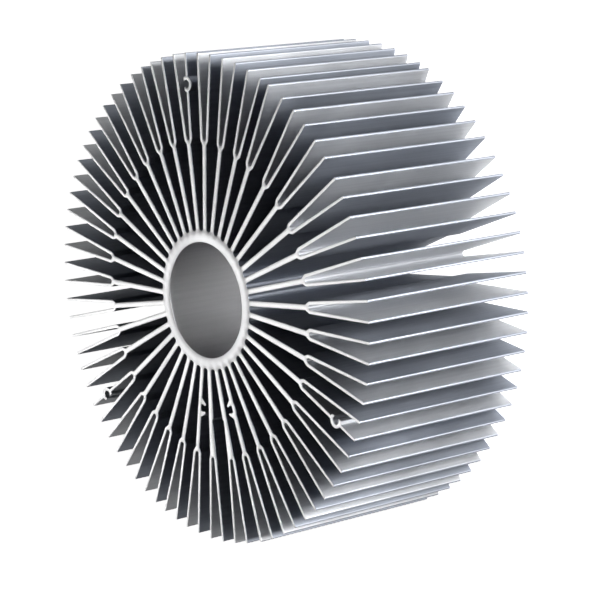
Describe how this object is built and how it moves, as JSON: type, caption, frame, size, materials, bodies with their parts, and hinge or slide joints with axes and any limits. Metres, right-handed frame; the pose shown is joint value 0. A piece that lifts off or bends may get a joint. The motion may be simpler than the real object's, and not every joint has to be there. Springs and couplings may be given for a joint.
{
  "type": "sunflower heat sink",
  "caption": "Round extruded aluminium heat sink: a hub with an open bore, radial stems forking into thin fins, screw channels and a cable slot.",
  "frame": {"origin": "on the bore's axis, in the plane of the lower cut end, which the part stands on", "axes": "+Z along the extrusion, out of the end that the picture shows; +Y towards the stem of the first screw channel, so that the cable slot lies along -Y"},
  "size_m": [0.2, 0.1998, 0.084],
  "materials": {
    "heat_sink": "mill finish, sawn ends"
  },
  "bodies": {
    "root": {"heat_sink": "heat_sink"}
  },
  "joints": []
}
